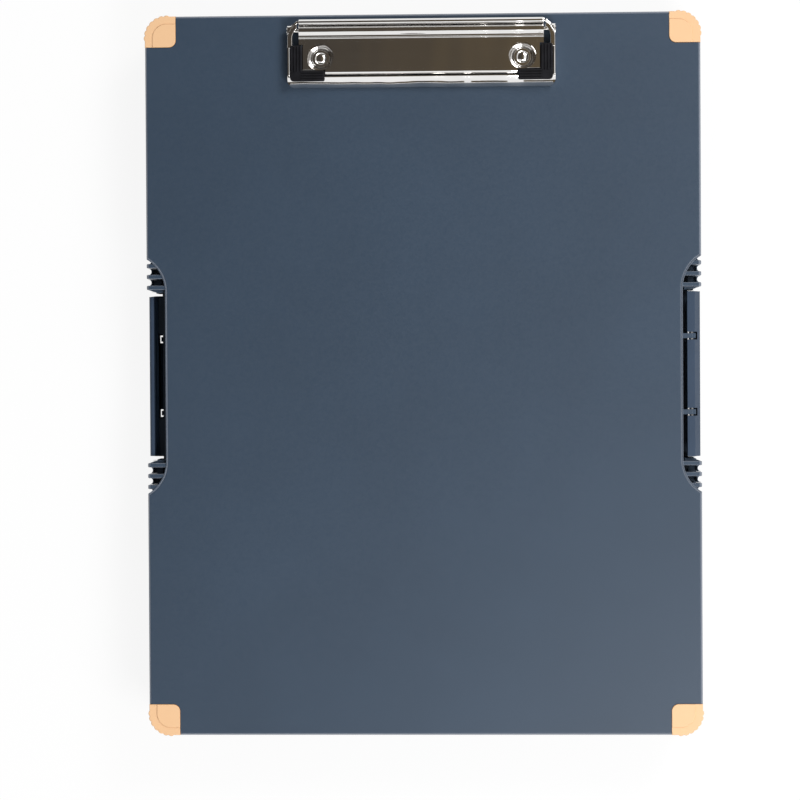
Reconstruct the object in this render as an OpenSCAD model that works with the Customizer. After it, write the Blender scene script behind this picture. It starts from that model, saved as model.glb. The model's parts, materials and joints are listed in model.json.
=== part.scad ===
// Storage clipboard box: two shallow covers hinged to a middle frame, one on each side,
// with a side latch for each cover, rubber corner bumpers and a low sprung paper clip.
// The case lies on its back cover. X runs across the case, Y along it towards the clip,
// Z up through its thickness. The back half is the front half turned about the Y axis.

/* [Case] */
// Width across the covers
case_w = 254; // [236:1:280]
// Length of the covers
case_l = 330.2; // [300:0.1:360]
// Height of one cover from its outer face to its seam
cover_h = 12.4; // [11.8:0.1:16]
// Height of the middle frame between the two seams
frame_h = 13.2; // [12.4:0.1:20]
// Thickness of the covers' flat panels
panel_t = 2.4; // [2:0.1:3]
// Thickness of the side walls
wall_t = 2.2; // [1.8:0.1:2.6]
// Overhang of each panel past its side walls
brim = 2.9; // [2.7:0.1:3.6]
// Radius of the case's corners
corner_r = 10; // [8:0.5:13]
// Radius on the panels' outer edges
edge_r = 1.3; // [0.5:0.1:1.8]
// Thickness of the divider panel between the two compartments
web_t = 2; // [1.6:0.1:3]
// Reach of the ledges that hold the divider panel in the frame
ledge_d = 1.4; // [1:0.1:1.5]
// Thickness of those ledges
ledge_t = 1.2; // [0.8:0.1:1.6]
// Height of the tongue that registers each cover on the frame
tongue_h = 1.2; // [0.8:0.1:1.6]
// Thickness of that tongue
tongue_t = 1.2; // [0.9:0.1:1.6]

/* [Dividers] */
// Thickness of the divider ribs in the back compartment
rib_t = 1.8; // [1.2:0.1:2.4]
// How far the ribs stand past the frame's seam
rib_reach = 8; // [4:0.5:9]
// Width of the pen tray
pen_tray_w = 44; // [30:1:60]
// Place of the cross rib along the case
cross_rib_y = 20; // [-60:1:60]

/* [Grip notches] */
// Depth of the notches in the long sides
notch_d = 8.6; // [8:0.1:10]
// Length of a notch's straight bottom
notch_l = 78; // [77:0.5:90]
// Radius of a notch's ends
notch_r = 17.4; // [15:0.1:20]
// Setback of the walls under a notch's edge
notch_setback = 0.9; // [0.6:0.1:1.4]
// Fins at each end of a notch
fin_count = 3; // [1:1:3]
// Thickness of a fin
fin_t = 1.45; // [1:0.05:2]
// Distance from one fin to the next
fin_pitch = 5; // [3.5:0.1:5.4]
// Depth of a fin at its root
fin_root = 6.4; // [4:0.1:7.5]
// Depth of a fin at its tip
fin_tip = 2.2; // [1:0.1:3]
// Drop of the fins below the outer face
fin_drop = 0.4; // [0.1:0.1:1]

/* [Hinges] */
// Length of one hinge
hinge_l = 80; // [50:1:84]
// Distance from the case's middle to each hinge
hinge_y = 62; // [58:1:66]
// Knuckles in one hinge
knuckles = 5; // [3:2:7]
// Radius of the knuckles
knuckle_r = 2.5; // [2.2:0.1:2.7]
// Radius of the steel hinge pins
pin_r = 1; // [0.8:0.05:1.2]
// Closed end of each hinge's last bore
pin_stop = 1.5; // [1:0.1:3]

/* [Latches] */
// Length of a latch
latch_l = 75.4; // [60:0.1:76]
// Thickness of a latch's plate
latch_t = 2.2; // [1.6:0.1:2.4]
// Distance from the case's side in to a latch's pivot
latch_pivot_in = 4.4; // [4.2:0.1:4.6]
// Distance from the outer face down to a latch's pivot
latch_pivot_down = 4.5; // [4.2:0.1:5]
// Half the distance between a latch's two lugs
lug_y = 17.4; // [14:0.1:18]
// Width of a lug
lug_w = 2.2; // [1.6:0.1:2.6]
// Width of the slots that the lugs stand in
lug_slot = 3.6; // [3:0.1:4.5]
// Radius of a lug's eye
lug_r = 2.1; // [1.8:0.1:2.3]
// Length of a latch pin
latch_pin_l = 12; // [8:0.5:14]
// Length of each catch ledge on the frame
catch_l = 17; // [8:0.5:17]
// Thickness of a catch ledge
catch_t = 2; // [1.4:0.1:2.4]
// How far a latch's plate reaches past the far seam
latch_past = 5.5; // [0:0.5:5.5]
// How much shorter a latch's plate is at its free end
latch_taper = 1; // [0:0.1:3]

/* [Bumpers] */
// Side of a bumper's square
bumper_w = 14.2; // [12:0.1:18]
// Height of a bumper
bumper_h = 8.6; // [6:0.1:8.8]
// Rubber over the outer face
bumper_t = 1.2; // [0.8:0.1:1.6]
// How far the bumpers stand out of the faces
bumper_proud = 0.5; // [0.3:0.1:1]
// Radius of a bumper's inner corner
bumper_in_r = 3.2; // [2:0.1:4.5]
// Width of the lower band round a bumper
band_w = 3.5; // [2.5:0.1:4.5]
// Scallops on a bumper's outer edge
scallops = 7; // [5:1:9]
// Radius of a scallop
scallop_r = 1.7; // [1.4:0.1:2.2]
// How far the scallops stand out of the sides
scallop_proud = 0.5; // [0.2:0.1:1]

/* [Clip plate] */
// Width of the fixed plate
plate_w = 111.4; // [100:0.2:124]
// Distance from the case's end to the plate's hood axis
clip_axis_in = 7.9; // [7.4:0.1:12]
// Height of the hood axis above the cover
clip_axis_h = 4.6; // [4.2:0.1:5.5]
// Outer radius of the hood over the rod
hood_r = 2.9; // [2.6:0.1:3.2]
// Height of the plate's flat top above the cover
plate_h = 6.5; // [6:0.1:7]
// Distance from the hood axis to the plate's front
plate_d = 20.3; // [19:0.1:24]
// Thickness of the clip's sheet metal
sheet_t = 0.8; // [0.6:0.05:0.9]
// Radius of the bend along the plate's front
nose_r = 1.7; // [1.2:0.1:2.2]
// Distance from the plate's ends in to the rivets
rivet_end_in = 9.7; // [9:0.1:14]
// Distance from the hood axis to the rivets
rivet_in = 12.3; // [11:0.1:13]
// Radius at the top of a rivet's dish
dish_r = 6.2; // [5.6:0.1:6.6]
// Radius of a rivet's shank
rivet_r = 2; // [1.5:0.1:2.4]
// Radius of a rivet's rim
rivet_rim_r = 4; // [3.4:0.1:4.2]
// Radius of a rivet's dome
rivet_dome_r = 2.9; // [2.4:0.1:3.2]

/* [Clip jaw] */
// How far the jaw stands past each end of the plate
jaw_over = 5.3; // [5:0.1:6.5]
// Distance from the hood axis to the jaw's front edge
jaw_d = 25.7; // [25:0.1:30]
// Depth of the jaw's sloping lip
lip_d = 5; // [4:0.1:5.4]
// Height of the jaw's top above the cover
jaw_h = 6.4; // [6:0.1:7]
// Thickness of the jaw's sides
side_t = 1.2; // [0.8:0.1:1.6]
// Radius of the arms that run back to the lever
arm_r = 8.4; // [7.8:0.1:9]
// Height of the lever above the rod
lever_h = 3.2; // [2.8:0.1:4.5]
// Length of a grip along the lip
grip_l = 15.8; // [10:0.1:18]
// Length of a grip along the jaw's side
grip_side_l = 16.3; // [12:0.1:17]
// Width of a grip's arms
grip_w = 4.8; // [4:0.1:5.2]
// Ribs on each arm of a grip
grip_ribs = 4; // [2:1:6]
// Height of those ribs
grip_rib_h = 0.5; // [0.3:0.1:0.8]
// Radius of the rod that the jaw turns on
rod_r = 1; // [0.8:0.05:1.1]
// Radius of the spring wire
wire_r = 0.35; // [0.3:0.05:0.4]
// Turns in each spring
spring_turns = 5; // [3:1:6]
// Distance from the case's middle to each spring
spring_x = 22; // [12:1:36]

/* [Fits] */
// Running clearance of a pin in its bore
run_gap = 0.05; // [0.02:0.01:0.08]
// Gap between the knuckles of a hinge
knuckle_gap = 0.3; // [0.2:0.05:0.6]
// Gap between parts that move past each other
swing_gap = 0.3; // [0.25:0.05:0.5]
// Gap round a part that is set into another
seat_gap = 0.1; // [0.05:0.05:0.2]

/* [Hidden] */
$fn = 64;
over = 1; // reach of a cutting shape past the surface that it cuts

slate = "#4a5668";
orange = "#fdc090";
chrome = "#c9cbd0";
steel = "#9a9da3";
black_rubber = "#1c1c1f";

// Heights in the assembled case
back_seam_z = bumper_proud + cover_h;
front_seam_z = back_seam_z + frame_h;
mid_z = back_seam_z + frame_h / 2;

// The notch: a round-ended slot beside each long side
fin_first = 1.8; // from the straight bottom's end to the first fin
notch_cx = case_w / 2 - notch_d + notch_r;
notch_y = notch_l / 2;
notch_wall_x = case_w / 2 - notch_d - notch_setback;
fin_y = notch_y + fin_first;

// Hinges: their axes lie in the walls' outer faces, at the seams
hinge_x = case_w / 2 - brim;
knuckle_pitch = hinge_l / knuckles;

// Bumpers
band_proud = 0.1; // how far a bumper's lower band stands out of the faces

// Latches, measured in the cover's frame
latch_x = case_w / 2 - latch_pivot_in;
latch_z = cover_h - latch_pivot_down;
latch_inset = 0.2; // from the case's side in to a latch's outer face
latch_face = latch_pivot_in - latch_inset; // from the pivot out to that face
latch_top = 2.6; // from the pivot up to the latch's flat top
latch_back = 2; // from the pivot in to the latch's inner edge
latch_ridge = 1.4; // from the pivot out to the ridge along the top
latch_slant = 5.2; // height of the slanting face below the ridge
latch_belly = 0.8; // how much lower the latch's thick top ends at its plate
latch_chamfer = 1; // chamfer along the latch's lower outer edge
lug_slot_in = 0.7; // how far the lug slots go into the latch's plate
lug_flare = 1; // how much wider a lug is where it leaves the wall
latch_room = 0.8; // room past each end of a latch
shelf_reach = 4.4; // from a notch's wall out to the edge of the shelf in it
pocket_t = 0.8; // wall round the pockets under the fins
hook_t = 2; // height of the hook along the plate's inner face
hook_d = 0.8; // how far the hook stands in from the plate
catch_low = 0.3; // underside of the catch below the frame's middle
catch_in = 0.5; // from a lug's slot to the catch beside it
catch_z = catch_t - catch_low; // top of the catch above the frame's middle
tongue_foot = 2; // height of the tongue's foot inside the frame
latch_drop = latch_z + frame_h / 2 - catch_z + catch_t + 2 * swing_gap; // pivot to hook
latch_low = latch_z + frame_h + latch_past; // pivot to the plate's free edge
latch_in = latch_face - latch_t; // from the pivot out to the plate's inner face

// Clip, measured from the case's middle and from the cover's outer face
clip_y = case_l / 2 - clip_axis_in;
rivet_y = clip_y - rivet_in;
plate_front = clip_y - plate_d;
jaw_front = clip_y - jaw_d;
jaw_w = plate_w + 2 * jaw_over;
jaw_x = jaw_w / 2;
grip_in = side_t; // from the jaw's side in to a grip
grip_front = 2.6; // from the jaw's front edge back to a grip
grip_side_more = 0.8; // how much wider a grip's arm along the jaw's side is
grip_over = 0.5; // how far a grip's body stands over the jaw's top
grip_side_w = grip_w + grip_side_more;
grip_top = jaw_h + grip_over;
grip_foot_z = 3; // underside of the jaw's foot in a grip
paper_gap = 0.3; // room for paper under the jaw
grip_x = jaw_x - grip_in - grip_side_w; // inner side of the arm along the jaw's side
grip_y = jaw_front + grip_front; // front of a grip
grip_end_y = grip_y + grip_side_l; // rear end of a grip
corner_x = jaw_x - grip_in - grip_l; // inner end of the arm along the lip
side_low = 0.9; // underside of the jaw's sides
jaw_corner_r = 3;
ear_r = 2.4; // the jaw's ears round the rod
lever_in = 3.5; // from the rod out to the lever's lower edge
lever_out = 2.9; // from the rod out to the lever's rim
lever_low = 1.2; // from the rod down to the lever's lower edge
lever_rim_r = 1.3;
bead_r = 0.5; // bead pressed along the plate in front of the hood
rim_gap = 0.2; // room round a rivet's rim at the bottom of its dish
dish_base_r = rivet_rim_r + rim_gap;
rivet_rim_t = 0.6;
rivet_dome_h = 1.3;
dome_ball_r = (pow(rivet_dome_r, 2) + pow(rivet_dome_h, 2)) / (2 * rivet_dome_h);
rivet_tail_t = 1;
rivet_tail_r = 3.2;
washer_t = 0.8;
washer_r = 5;
rod_head_t = 0.3;
rod_head_r = 1.6;
spring_leg = 12; // reach of a spring's leg under the plate
turn_steps = 8;
wire_sides = 6;
hood_in_r = hood_r - sheet_t;
coil_gap = 0.15; // between the rod and a spring's turns
turn_gap = 0.5; // between one turn and the next
coil_r = rod_r + coil_gap + wire_r; // middle of the spring's wire
coil_pitch = 2 * wire_r + turn_gap;

// ---- shapes that repeat ----

module both_sides() {
    children();
    mirror([1, 0, 0]) children();
}

module both_ends() {
    children();
    mirror([0, 1, 0]) children();
}

module rounded_rect(w, l, r) {
    square([w - 2 * r, l], center = true);
    square([w, l - 2 * r], center = true);
    for (x = [-1, 1], y = [-1, 1])
        translate([x * (w / 2 - r), y * (l / 2 - r)]) circle(r);
}

// The round-ended slot of one notch, grown by g
module notch_slot(g) {
    both_ends() translate([notch_cx, notch_y]) circle(notch_r + g, $fn = 96);
    translate([notch_cx - notch_r - g, -notch_y]) square([notch_r + g, notch_l]);
}

// Outline of a cover's flat panel
module panel_outline() {
    difference() {
        rounded_rect(case_w, case_l, corner_r);
        both_sides() notch_slot(0);
    }
}

// Outline of a cover's walls, set in by i from their outer face
module wall_outline(i) {
    difference() {
        rounded_rect(2 * (hinge_x - i), case_l - 2 * (brim + i), corner_r - brim - i);
        both_sides() notch_slot(notch_setback + i);
    }
}

// The corner left over outside a quarter circle, for rounding an outer edge
module edge_profile() {
    difference() {
        square(edge_r + over);
        circle(edge_r);
    }
}

// Rounds a straight outer edge of length l that runs along Y at x
module straight_edge_cut(x, y0, y1) {
    translate([x - edge_r, y1, cover_h - edge_r])
        rotate([90, 0, 0]) linear_extrude(y1 - y0) edge_profile();
}

// Rounds the outer edges of a cover's panel
module panel_edge_cuts() {
    both_sides() {
        both_ends() {
            straight_edge_cut(case_w / 2, notch_y + notch_r / 2, case_l / 2 + over);
            translate([notch_cx, notch_y, cover_h - edge_r]) rotate([0, 0, 90])
                rotate_extrude(angle = 90)
                    translate([notch_r + edge_r, 0]) mirror([1, 0]) edge_profile();
        }
        straight_edge_cut(case_w / 2 - notch_d, -notch_y, notch_y);
    }
    for (a = [90, -90]) rotate([0, 0, a])
        straight_edge_cut(case_l / 2, -case_w / 2 - over, case_w / 2 + over);
}

// ---- hinges ----

// Knuckle k of the hinge on the -X side, with its axis on the seam
module knuckle(k, r, grow) {
    translate([-hinge_x, hinge_y + k * knuckle_pitch + knuckle_gap / 2 - grow, 0])
        rotate([-90, 0, 0]) cylinder(h = knuckle_pitch - knuckle_gap + 2 * grow, r = r);
}

// Every second knuckle from the first one named, at both ends of the case
module knuckle_row(first, r = knuckle_r, grow = 0) {
    both_ends() for (k = [first:2:knuckles - 1]) knuckle(k, r, grow);
}

module hinge_bores() {
    both_ends() translate([-hinge_x, hinge_y - over, 0])
        rotate([-90, 0, 0]) cylinder(h = hinge_l - pin_stop + over, r = pin_r + run_gap);
}

module hinge_pin_pair() {
    both_ends() translate([-hinge_x, hinge_y + knuckle_gap, 0])
        rotate([-90, 0, 0]) cylinder(h = hinge_l - pin_stop - 2 * knuckle_gap, r = pin_r);
}

// ---- one cover, with its seam at z = 0 and its outer face at cover_h ----

// A fin: a thin gusset from the notch's wall out to the case's side
module fin(y) {
    root_x = notch_cx - sqrt(pow(notch_r + notch_setback, 2) - pow(y - notch_y, 2)) - wall_t / 2;
    tip_x = case_w / 2;
    top = cover_h - fin_drop;
    translate([0, y + fin_t / 2, 0]) rotate([90, 0, 0]) linear_extrude(fin_t) polygon([
        [root_x, top], [tip_x - fin_tip / 2, top], [tip_x, top - fin_tip / 2],
        [tip_x, top - fin_tip], [hinge_x, top - fin_root], [root_x, top - fin_root]]);
}

// A lug: an eye on an arm that carries one end of a latch
module latch_lug() {
    translate([0, lug_w / 2, 0]) rotate([90, 0, 0]) linear_extrude(lug_w) {
        translate([latch_x, latch_z]) circle(lug_r);
        polygon([[notch_wall_x - wall_t / 2, latch_z - lug_r - lug_flare], [latch_x, latch_z - lug_r],
                 [latch_x, latch_z + lug_r], [notch_wall_x - wall_t / 2, latch_z + lug_r]]);
    }
}

module latch_pin_bore(l) {
    translate([latch_x, 0, latch_z]) rotate([90, 0, 0])
        cylinder(h = l, r = pin_r + run_gap, center = true);
}

// The square patch that a bumper covers at the +X +Y corner, grown by g
module bumper_patch(g) {
    side = bumper_w + 2 * corner_r;
    translate([case_w / 2 - bumper_w - g + side / 2, case_l / 2 - bumper_w - g + side / 2])
        rounded_rect(side, side, bumper_in_r);
}

// What a cover gives up to the bumper at the +X +Y corner
module bumper_seat_cut() {
    difference() {
        linear_extrude(cover_h + over) bumper_patch(seat_gap);
        translate([0, 0, -over]) linear_extrude(cover_h - bumper_t + over) wall_outline(0);
    }
}

module cover() {
    difference() {
        union() {
            difference() {
                union() {
                    linear_extrude(cover_h) wall_outline(0);
                    translate([0, 0, cover_h - panel_t]) linear_extrude(panel_t) panel_outline();
                }
                translate([0, 0, -over]) linear_extrude(cover_h - panel_t + over) wall_outline(wall_t);
                panel_edge_cuts();
                knuckle_row(0, knuckle_r + swing_gap, knuckle_gap / 2);
                both_sides() both_ends() bumper_seat_cut();
            }
            knuckle_row(1);
            both_sides() both_ends() for (i = [0:fin_count - 1]) fin(fin_y + i * fin_pitch);
            both_ends() translate([0, lug_y, 0]) latch_lug();
        }
        hinge_bores();
        both_ends() translate([0, lug_y, 0]) latch_pin_bore(2 * lug_w);
    }
}

// ---- the bumper at the +X +Y corner of a cover ----

module scalloped_outline() {
    rounded_rect(case_w, case_l, corner_r);
    for (i = [0:scallops - 1]) {
        a = 90 * i / (scallops - 1);
        arm = corner_r + scallop_proud - scallop_r;
        translate([case_w / 2 - corner_r + arm * cos(a), case_l / 2 - corner_r + arm * sin(a)])
            circle(scallop_r, $fn = 24);
    }
}

module bumper() {
    band_r = corner_r - band_w;
    difference() {
        union() {
            translate([0, 0, cover_h - bumper_h]) linear_extrude(bumper_h + band_proud)
                intersection() {
                    scalloped_outline();
                    bumper_patch(0);
                }
            translate([0, 0, cover_h - bumper_t]) linear_extrude(bumper_t + bumper_proud)
                intersection() {
                    rounded_rect(case_w - 2 * band_w, case_l - 2 * band_w, band_r);
                    bumper_patch(0);
                }
        }
        translate([0, 0, -over]) linear_extrude(cover_h - bumper_t + over) wall_outline(0);
    }
}

// ---- one latch, in its cover's frame ----

// Section about the pivot: a thick top with a ridge, and a plate with a hook inside
module latch_section() {
    polygon([[-latch_back, latch_top], [latch_ridge, latch_top],
             [latch_face, latch_top - latch_slant], [latch_face, latch_chamfer - latch_low],
             [latch_face - latch_chamfer, -latch_low], [latch_in, -latch_low],
             [latch_in, -latch_drop - hook_t], [latch_in - hook_d, -latch_drop - hook_t / 2],
             [latch_in - hook_d, -latch_drop], [latch_in, -latch_drop],
             [latch_in, -latch_top - latch_belly], [0, -latch_top], [-latch_back, -latch_top / 2]]);
}

module latch() {
    half_l = latch_l / 2;
    difference() {
        intersection() {
            translate([latch_x, half_l, latch_z]) rotate([90, 0, 0])
                linear_extrude(latch_l) latch_section();
            // the ends taper towards the free edge
            translate([latch_x, 0, latch_z]) rotate([90, 0, 90])
                linear_extrude(2 * latch_pivot_in, center = true) polygon([
                    [-half_l, latch_top], [half_l, latch_top], [half_l, -latch_top],
                    [half_l - latch_taper, -latch_low], [latch_taper - half_l, -latch_low],
                    [-half_l, -latch_top]]);
        }
        both_ends() {
            translate([latch_x - latch_back - over, lug_y - lug_slot / 2, latch_z - latch_top - over])
                cube([latch_back + over + latch_in + lug_slot_in, lug_slot, 2 * (latch_top + over)]);
            translate([0, lug_y, 0]) latch_pin_bore(latch_pin_l + 2 * swing_gap);
        }
    }
}

module latch_pin_pair() {
    both_ends() translate([latch_x, lug_y, latch_z]) rotate([90, 0, 0])
        cylinder(h = latch_pin_l, r = pin_r, center = true);
}

// ---- the middle frame, with z = 0 at its middle ----

// Outer outline: straight sides with a recess behind each latch
module frame_outline() {
    difference() {
        rounded_rect(2 * hinge_x, case_l - 2 * brim, corner_r - brim);
        both_sides() translate([notch_wall_x, -latch_l / 2 - latch_room])
            square([brim + notch_d + over, latch_l + 2 * latch_room]);
    }
}

// The pocket under each group of fins, between the notch's wall and a thin outer wall
module fin_pockets() {
    both_sides() both_ends() intersection() {
        notch_slot(notch_setback);
        translate([0, latch_l / 2 + latch_room + pocket_t]) square([hinge_x - pocket_t, case_l / 2]);
    }
}

// The front half of the frame: its back half is this one turned about Y
module frame_half() {
    seam = frame_h / 2;
    difference() {
        linear_extrude(seam) frame_outline();
        translate([0, 0, -over]) {
            linear_extrude(web_t / 2 + over) wall_outline(wall_t);
            linear_extrude(seam) wall_outline(wall_t + ledge_d);
        }
        translate([0, 0, web_t / 2 + ledge_t]) linear_extrude(seam) wall_outline(wall_t);
        translate([0, 0, web_t / 2]) linear_extrude(seam) fin_pockets();
    }
    translate([0, 0, seam - tongue_foot]) linear_extrude(tongue_foot) difference() {
        wall_outline(wall_t - seat_gap);
        wall_outline(wall_t + swing_gap + tongue_t);
    }
    translate([0, 0, seam - over]) linear_extrude(tongue_h + over) difference() {
        wall_outline(wall_t + swing_gap);
        wall_outline(wall_t + swing_gap + tongue_t);
    }
    translate([0, 0, seam]) knuckle_row(0);
    // a shelf in the recess, and on it the two ledges that the latch hooks under
    translate([notch_wall_x - wall_t / 2, -latch_l / 2 - latch_room - over, -web_t / 2])
        cube([wall_t / 2 + shelf_reach, latch_l + 2 * (latch_room + over), web_t]);
    both_ends()
        translate([notch_wall_x - wall_t / 2, lug_y + lug_slot / 2 + catch_in, catch_z - catch_t])
            cube([latch_x + latch_in - swing_gap - notch_wall_x + wall_t / 2, catch_l, catch_t]);
}

module frame_half_cuts() {
    translate([0, 0, frame_h / 2]) {
        knuckle_row(1, knuckle_r + swing_gap, knuckle_gap / 2);
        hinge_bores();
    }
}

// Ribs that part the back compartment into a pen tray and two bays
module divider_ribs() {
    low = -frame_h / 2 - rib_reach;
    pen_x = -hinge_x + wall_t + pen_tray_w;
    intersection() {
        translate([0, 0, low]) linear_extrude(-low)
            wall_outline(wall_t + swing_gap + tongue_t + seat_gap);
        union() {
            translate([pen_x, -case_l / 2, low]) cube([rib_t, case_l, -low]);
            translate([pen_x, cross_rib_y, low]) cube([case_w / 2 - pen_x, rib_t, -low]);
        }
    }
}

// ---- the clip, with z = 0 on the cover's outer face ----

// Extrudes a section drawn in Y and Z along X, centred on the case's middle
module along_x(w) {
    rotate([90, 0, 90]) linear_extrude(w, center = true) children();
}

// Section of the plate: front wall, nose, flat top and the hood over the rod
module plate_section() {
    nose_y = plate_front + nose_r;
    difference() {
        union() {
            translate([nose_y, plate_h - nose_r]) circle(nose_r);
            translate([plate_front, 0]) square([nose_r, plate_h - nose_r]);
            translate([nose_y, plate_h - 2 * nose_r]) square([clip_y - nose_y, 2 * nose_r]);
            translate([clip_y - hood_r - bead_r, plate_h - bead_r / 2]) circle(bead_r, $fn = 24);
            translate([clip_y, clip_axis_h]) circle(hood_r);
        }
        translate([nose_y, plate_h - nose_r]) circle(nose_r - sheet_t);
        translate([plate_front + sheet_t, -over]) square([nose_r, plate_h - nose_r + over]);
        translate([nose_y, -over]) square([clip_y - nose_y, plate_h - sheet_t + over]);
        translate([clip_y, clip_axis_h]) circle(hood_in_r);
        translate([clip_y - hood_r - over, -over]) square([2 * (hood_r + over), clip_axis_h + over]);
    }
}

// A rivet's pressed dish: its outside reaches down to the cover
module dish() {
    rotate_extrude() polygon([[0, 0], [dish_base_r + sheet_t, 0],
                              [dish_r + sheet_t, plate_h], [0, plate_h]]);
}

module dish_hollow() {
    rotate_extrude() polygon([[0, sheet_t], [dish_base_r, sheet_t],
                              [dish_r, plate_h], [dish_r, plate_h + over], [0, plate_h + over]]);
}

module rod_bore() {
    translate([0, clip_y, clip_axis_h]) rotate([0, 90, 0])
        cylinder(h = jaw_w + 2 * over, r = rod_r + run_gap, center = true);
}

module at_rivets() {
    both_sides() translate([plate_w / 2 - rivet_end_in, rivet_y, 0]) children();
}

module plate_solid() {
    difference() {
        union() {
            along_x(plate_w) plate_section();
            at_rivets() dish();
            // cheeks that carry the rod at the hood's ends
            both_sides() translate([plate_w / 2 - sheet_t, clip_y, clip_axis_h])
                rotate([0, 90, 0]) cylinder(h = sheet_t, r = hood_r);
        }
        at_rivets() {
            dish_hollow();
            translate([0, 0, -over]) cylinder(h = plate_h, r = rivet_r + run_gap);
        }
        // corners cut away to make room for the grips
        both_sides() {
            translate([corner_x - swing_gap, jaw_front, -over])
                cube([jaw_w, grip_y + grip_w + swing_gap - jaw_front, plate_h + 2 * over]);
            translate([grip_x - swing_gap, jaw_front, -over])
                cube([jaw_w, grip_end_y + swing_gap - jaw_front, plate_h + 2 * over]);
        }
        rod_bore();
    }
}

// Section of the lever: a leaning sheet with a rolled rim, behind the hood
module lever_section() {
    low = clip_axis_h - lever_low;
    top = clip_axis_h + lever_h;
    polygon([[clip_y + lever_in, low], [clip_y + lever_in + side_t, low],
             [clip_y + lever_out + side_t, top], [clip_y + lever_out, top]]);
    translate([clip_y + lever_out + side_t / 2, top]) circle(lever_rim_r, $fn = 32);
}

// Section of the lip: a quarter round that comes down to the paper
module lip_section() {
    lip_r = jaw_h - paper_gap;
    intersection() {
        translate([jaw_front + lip_r, paper_gap]) difference() {
            circle(lip_r);
            circle(lip_r - side_t);
        }
        translate([jaw_front, paper_gap]) square([lip_d, lip_r]);
    }
}

// An arm: the jaw's side goes on round a curve to the lever's end
module jaw_arm() {
    half_lever = plate_w / 2;
    arm_x = jaw_x - arm_r;
    arm_a = acos((half_lever - arm_x) / arm_r);
    arm_y = clip_y + lever_in + side_t - arm_r * sin(arm_a);
    translate([arm_x, arm_y, clip_axis_h - lever_low]) rotate_extrude(angle = arm_a, $fn = 96)
        translate([arm_r - side_t, 0]) square([side_t, jaw_h - clip_axis_h + lever_low]);
    translate([jaw_x - side_t, jaw_front + lip_d, side_low])
        cube([side_t, arm_y - jaw_front - lip_d, jaw_h - side_low]);
}

// The flat foot inside a grip, at the jaw's corner
module jaw_foot() {
    translate([corner_x + side_t, jaw_front + lip_d / 2, grip_foot_z])
        cube([jaw_x - side_t / 2 - corner_x - side_t,
              grip_y + grip_w - side_t - jaw_front - lip_d / 2, sheet_t]);
    translate([grip_x + side_t, jaw_front + lip_d / 2, grip_foot_z])
        cube([jaw_x - side_t / 2 - grip_x - side_t,
              grip_end_y - side_t - jaw_front - lip_d / 2, sheet_t]);
}

module jaw_metal() {
    difference() {
        union() {
            along_x(plate_w) lever_section();
            intersection() {
                union() {
                    along_x(jaw_w) lip_section();
                    both_sides() {
                        jaw_arm();
                        jaw_foot();
                        translate([jaw_x - 2 * side_t, clip_y, clip_axis_h]) rotate([0, 90, 0])
                            cylinder(h = 2 * side_t, r = ear_r);
                        translate([jaw_x - side_t, jaw_front + side_t, side_low])
                            cube([side_t, lip_d, jaw_h - side_low - side_t]);
                    }
                }
                translate([0, jaw_front + jaw_w / 2, 0]) linear_extrude(plate_h + hood_r)
                    rounded_rect(jaw_w, jaw_w, jaw_corner_r);
            }
        }
        rod_bore();
    }
}

// The grip at the jaw's +X corner: an L of rubber with ribs along its arms
module grip() {
    difference() {
        union() {
            translate([corner_x, grip_y, paper_gap])
                cube([grip_l, grip_w, grip_top - paper_gap]);
            translate([grip_x, grip_y, paper_gap])
                cube([grip_side_w, grip_side_l, grip_top - paper_gap]);
            for (i = [0:grip_ribs - 1]) {
                rib = grip_w / (2 * grip_ribs);
                side_rib = grip_side_w / (2 * grip_ribs);
                translate([corner_x, grip_y + (2 * i + 0.5) * rib, grip_top - over])
                    cube([grip_l - grip_side_w, rib, over + grip_rib_h]);
                translate([grip_x + (2 * i + 0.5) * side_rib, grip_y + grip_w, grip_top - over])
                    cube([side_rib, grip_side_l - grip_w, over + grip_rib_h]);
            }
        }
        jaw_metal();
    }
}

// One rivet: shank, rim and dome in the dish, and the tail set inside the cover
module rivet() {
    shank = panel_t + washer_t;
    translate([0, 0, -shank]) cylinder(h = shank + sheet_t, r = rivet_r);
    translate([0, 0, sheet_t]) cylinder(h = rivet_rim_t, r = rivet_rim_r);
    translate([0, 0, sheet_t + rivet_rim_t]) intersection() {
        translate([0, 0, rivet_dome_h - dome_ball_r]) sphere(dome_ball_r);
        cylinder(h = rivet_dome_h, r = rivet_dome_r);
    }
    translate([0, 0, -shank - rivet_tail_t]) cylinder(h = rivet_tail_t, r = rivet_tail_r);
}

module washer() {
    translate([0, 0, -panel_t - washer_t]) difference() {
        cylinder(h = washer_t, r = washer_r);
        translate([0, 0, -over]) cylinder(h = washer_t + 2 * over, r = rivet_r + run_gap);
    }
}

// ---- the torsion springs: wire swept along a helix round the rod ----

function unit(v) = v / norm(v);

// Points of one spring about the rod: a leg under the plate, the turns, a leg to the lever
function spring_path() = concat(
    [[0, -spring_leg, plate_h - sheet_t - wire_r - clip_axis_h]],
    [for (i = [0:spring_turns * turn_steps]) let (a = -90 + 360 * i / turn_steps)
        [coil_pitch * i / turn_steps, coil_r * cos(a), coil_r * sin(a)]],
    [[coil_pitch * spring_turns, lever_in + side_t, -lever_low - wire_r - seat_gap]]);

function path_dir(p, i) = unit(p[min(i + 1, len(p) - 1)] - p[max(i - 1, 0)]);

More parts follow.
